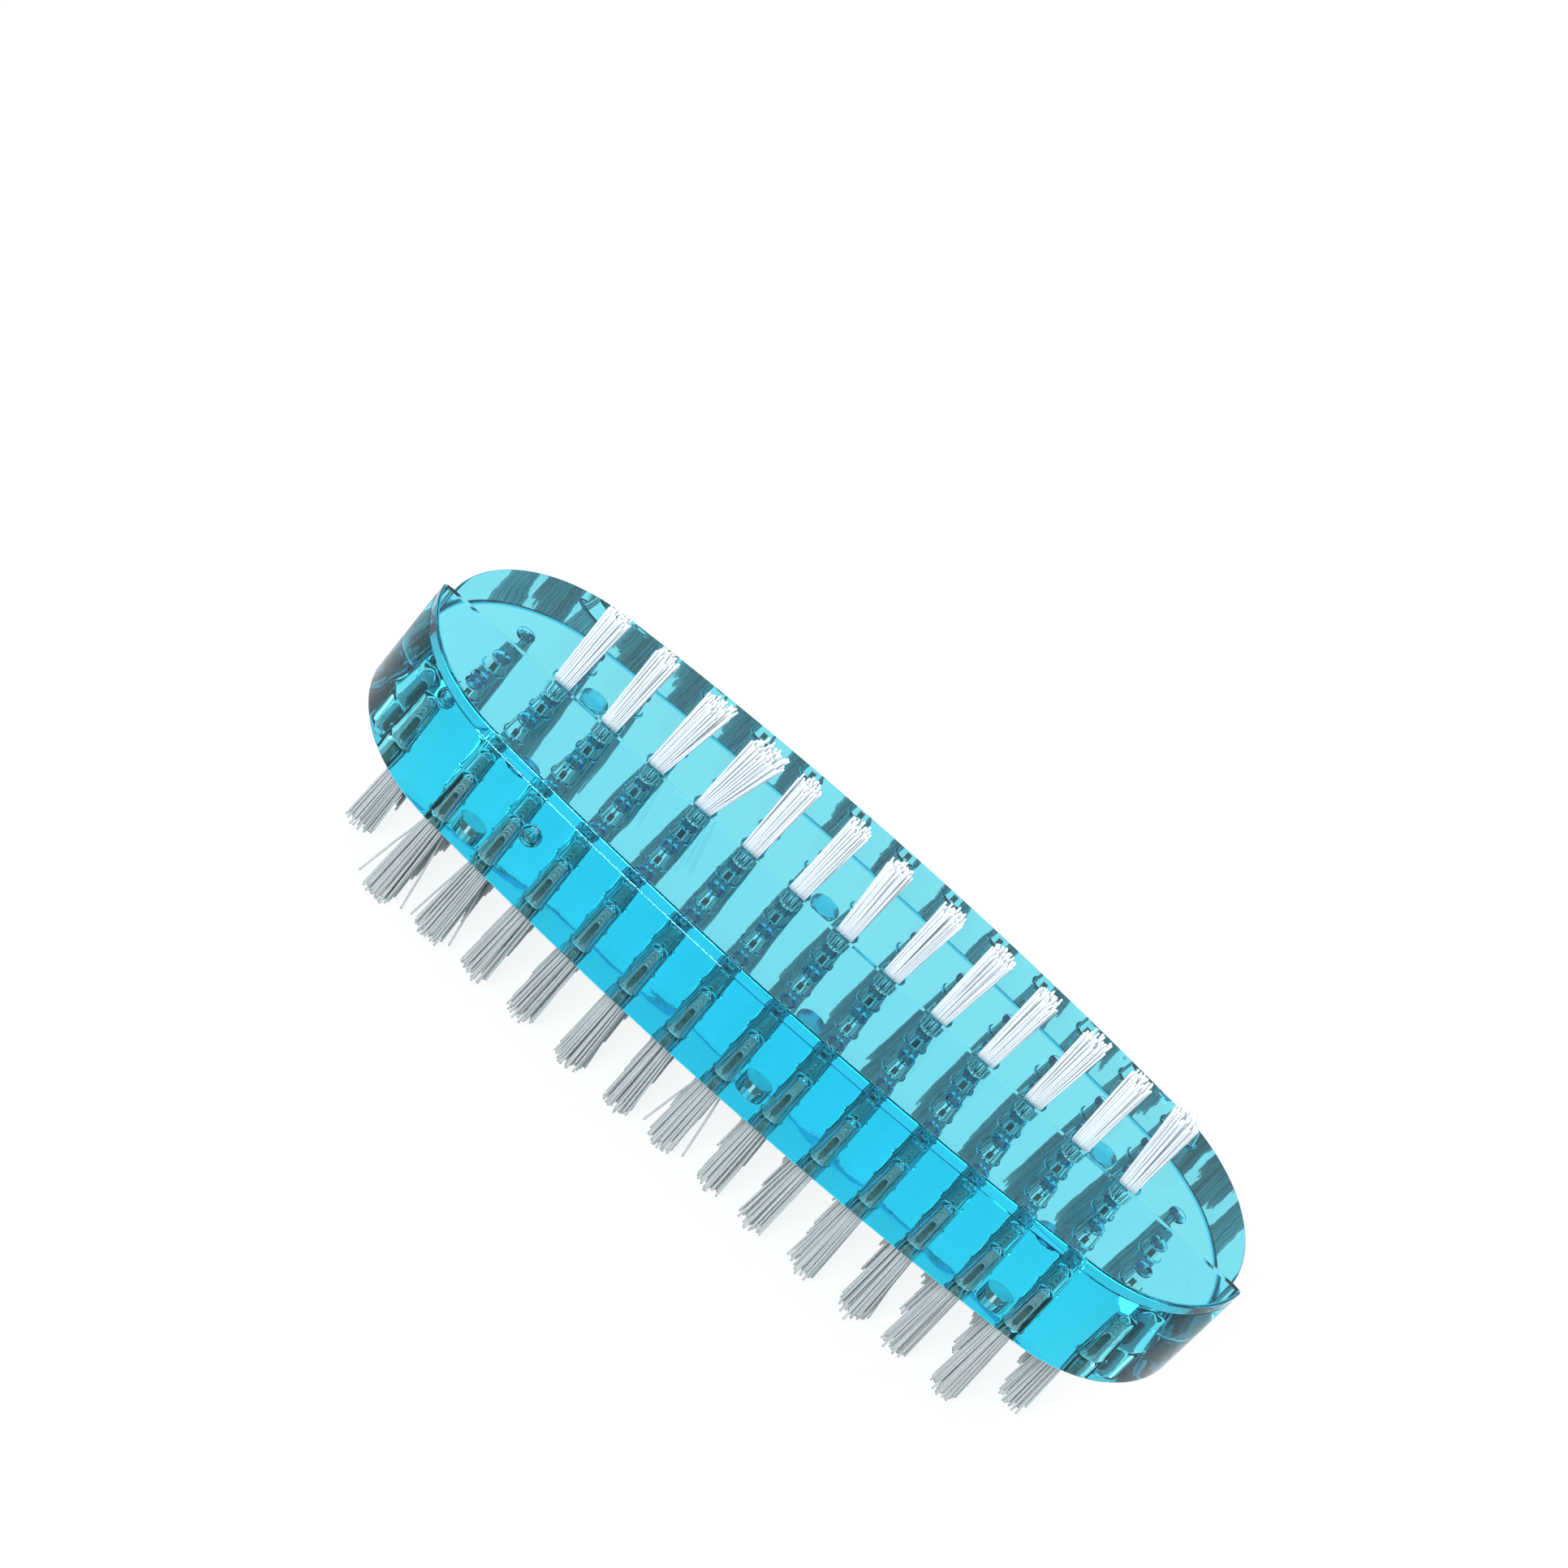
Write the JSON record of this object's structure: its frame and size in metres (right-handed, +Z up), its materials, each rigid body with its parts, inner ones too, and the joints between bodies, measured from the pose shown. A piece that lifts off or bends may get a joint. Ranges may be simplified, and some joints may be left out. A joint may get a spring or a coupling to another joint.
{
  "type": "nail brush",
  "caption": "Two-sided nail brush: clear moulded oval block with a single row of short tufts on top and rows of longer tufts below.",
  "frame": {"origin": "under the middle of the block, on the plane of the cut tips of the lower bristles", "axes": "+X along the block, +Z up towards the single top row, -Y towards the raised front half of the top"},
  "size_m": [0.0902, 0.031, 0.0328],
  "materials": {
    "clear_plastic": "polished, transparent, tinted cyan blue",
    "bristle": "white monofilament, satin",
    "anchor_wire": "bright drawn flat wire"
  },
  "bodies": {
    "root": {"body": "clear_plastic", "anchors_top": "anchor_wire", "anchors_front_outer": "anchor_wire", "anchors_front_inner": "anchor_wire", "anchors_middle": "anchor_wire", "anchors_rear_inner": "anchor_wire", "anchors_rear_outer": "anchor_wire", "top_tuft_01": "bristle", "top_tuft_02": "bristle", "top_tuft_03": "bristle", "top_tuft_04": "bristle", "top_tuft_05": "bristle", "top_tuft_06": "bristle", "top_tuft_07": "bristle", "top_tuft_08": "bristle", "top_tuft_09": "bristle", "top_tuft_10": "bristle", "top_tuft_11": "bristle", "top_tuft_12": "bristle", "top_tuft_13": "bristle", "lower_tufts_01": "bristle", "lower_tufts_02": "bristle", "lower_tufts_03": "bristle", "lower_tufts_04": "bristle", "lower_tufts_05": "bristle", "lower_tufts_06": "bristle", "lower_tufts_07": "bristle", "lower_tufts_08": "bristle", "lower_tufts_09": "bristle", "lower_tufts_10": "bristle", "lower_tufts_11": "bristle", "lower_tufts_12": "bristle", "lower_tufts_13": "bristle", "lower_tufts_14": "bristle", "lower_tufts_15": "bristle"}
  },
  "joints": []
}
